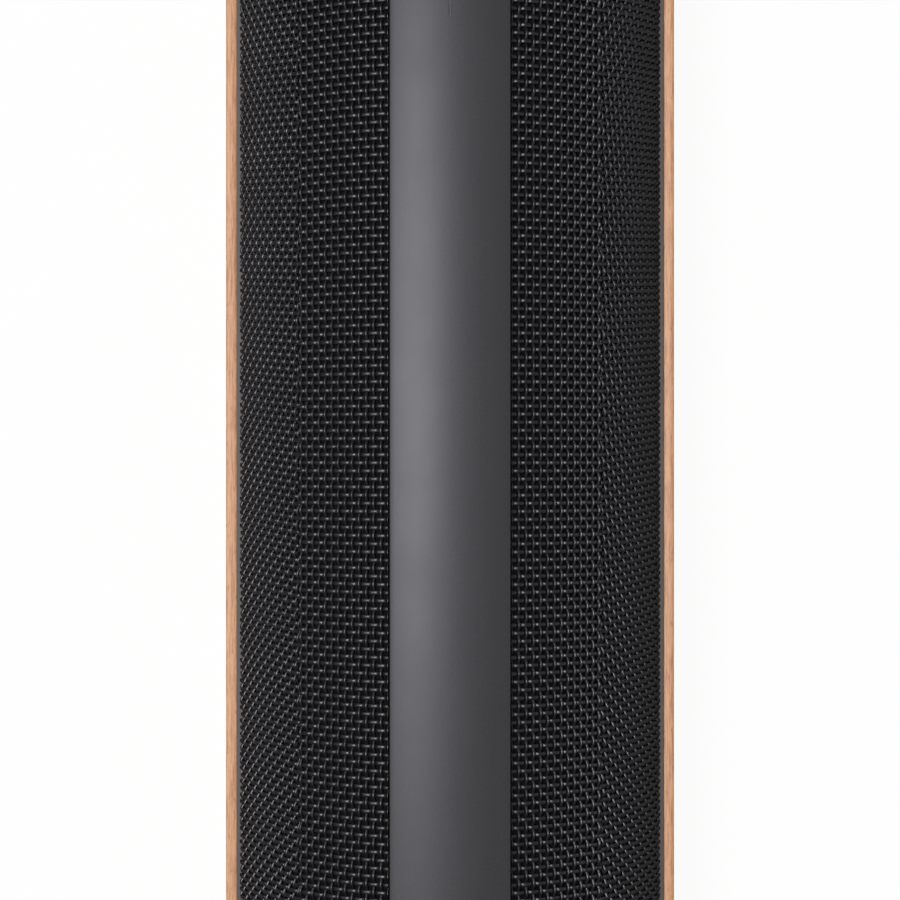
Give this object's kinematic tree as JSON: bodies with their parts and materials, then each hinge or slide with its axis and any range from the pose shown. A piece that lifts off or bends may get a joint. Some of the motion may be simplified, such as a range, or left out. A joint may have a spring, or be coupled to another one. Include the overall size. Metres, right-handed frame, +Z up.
{
  "type": "soundbar",
  "caption": "Compact soundbar with a low domed woven grille, a dark control strip along its ridge and a beech plinth.",
  "frame": {"origin": "on the supporting surface, under the middle of the bar", "axes": "+X along the bar to the listener's right, +Y to the rear, +Z up"},
  "size_m": [0.65, 0.097, 0.0699],
  "materials": {
    "beech": "oiled, fine grain",
    "strip_grey": "fine matt texture",
    "grille_cloth": "glossy black yarn, plain weave",
    "frame_black": "matt",
    "rubber_black": "matt",
    "brass": "turned",
    "steel": "zinc plated",
    "board_green": "solder mask",
    "aluminium": "extruded",
    "cone_paper": "pressed paper",
    "socket_black": "moulded",
    "socket_metal": "plated",
    "light_pipe": "smoked, clear",
    "ribbon": "flat cable"
  },
  "bodies": {
    "bar": {"plinth": "beech", "rubber_feet": "rubber_black", "wall_inserts": "brass", "base_seal": "rubber_black", "base_screws": "steel", "chamber_floor": "frame_black", "chamber_gasket": "rubber_black", "speaker_chamber": "frame_black", "front_grille_frame": "frame_black", "rear_grille_frame": "frame_black", "front_upper_cloth": "grille_cloth", "front_lower_cloth": "grille_cloth", "rear_upper_cloth": "grille_cloth", "rear_lower_cloth": "grille_cloth", "top_strip": "strip_grey", "left_end_cap": "strip_grey", "right_end_cap": "strip_grey", "key_board": "board_green", "tact_switches": "socket_black", "status_light_pipe": "light_pipe", "driver_gaskets": "rubber_black", "driver_baskets": "steel", "driver_motors": "steel", "driver_screws": "steel", "passive_frames": "frame_black", "passive_screws": "steel", "main_board": "board_green", "board_spacers": "socket_black", "heatsink": "aluminium", "capacitors": "socket_black", "key_ribbon": "ribbon", "socket_panel": "frame_black", "hdmi_socket": "socket_metal", "aux_socket": "socket_black", "dc_inlet": "socket_black", "left_outer_suspension": "rubber_black", "left_inner_suspension": "rubber_black", "right_inner_suspension": "rubber_black", "right_outer_suspension": "rubber_black", "left_passive_surround": "rubber_black", "right_passive_surround": "rubber_black"},
    "left_inner_cone": {"left_inner_cone": "cone_paper"},
    "left_outer_cone": {"left_outer_cone": "cone_paper"},
    "left_passive_disc": {"left_passive_disc": "aluminium"},
    "power_key": {"power_key": "strip_grey"},
    "right_inner_cone": {"right_inner_cone": "cone_paper"},
    "right_outer_cone": {"right_outer_cone": "cone_paper"},
    "right_passive_disc": {"right_passive_disc": "aluminium"},
    "source_key": {"source_key": "strip_grey"},
    "volume_down_key": {"volume_down_key": "strip_grey"},
    "volume_up_key": {"volume_up_key": "strip_grey"}
  },
  "joints": [
    {"name": "power_press", "type": "slide", "parent": "bar", "child": "power_key", "axis": [0, 0, -1], "range_m": [0, 0.0006], "stiffness_N_per_m": 200},
    {"name": "source_press", "type": "slide", "parent": "bar", "child": "source_key", "axis": [0, 0, -1], "range_m": [0, 0.0006], "stiffness_N_per_m": 200},
    {"name": "volume_down_press", "type": "slide", "parent": "bar", "child": "volume_down_key", "axis": [0, 0, -1], "range_m": [0, 0.0006], "stiffness_N_per_m": 200},
    {"name": "volume_up_press", "type": "slide", "parent": "bar", "child": "volume_up_key", "axis": [0, 0, -1], "range_m": [0, 0.0006], "stiffness_N_per_m": 200},
    {"name": "left_outer_cone_stroke", "type": "slide", "parent": "bar", "child": "left_outer_cone", "axis": [0, -0.7071, 0.7071], "range_m": [-0.002, 0.002], "stiffness_N_per_m": 500, "deforming": ["left_outer_suspension"]},
    {"name": "left_inner_cone_stroke", "type": "slide", "parent": "bar", "child": "left_inner_cone", "axis": [0, -0.7071, 0.7071], "range_m": [-0.002, 0.002], "stiffness_N_per_m": 500, "deforming": ["left_inner_suspension"]},
    {"name": "right_inner_cone_stroke", "type": "slide", "parent": "bar", "child": "right_inner_cone", "axis": [0, -0.7071, 0.7071], "range_m": [-0.002, 0.002], "stiffness_N_per_m": 500, "deforming": ["right_inner_suspension"]},
    {"name": "right_outer_cone_stroke", "type": "slide", "parent": "bar", "child": "right_outer_cone", "axis": [0, -0.7071, 0.7071], "range_m": [-0.002, 0.002], "stiffness_N_per_m": 500, "deforming": ["right_outer_suspension"]},
    {"name": "left_passive_stroke", "type": "slide", "parent": "bar", "child": "left_passive_disc", "axis": [0, 0.7071, 0.7071], "range_m": [-0.0025, 0.0025], "stiffness_N_per_m": 500, "deforming": ["left_passive_surround"]},
    {"name": "right_passive_stroke", "type": "slide", "parent": "bar", "child": "right_passive_disc", "axis": [0, 0.7071, 0.7071], "range_m": [-0.0025, 0.0025], "stiffness_N_per_m": 500, "deforming": ["right_passive_surround"]}
  ],
  "couplings": [
    {"joint": "left_outer_cone_stroke", "follows": "left_inner_cone_stroke", "ratio": 1},
    {"joint": "right_outer_cone_stroke", "follows": "right_inner_cone_stroke", "ratio": 1}
  ]
}
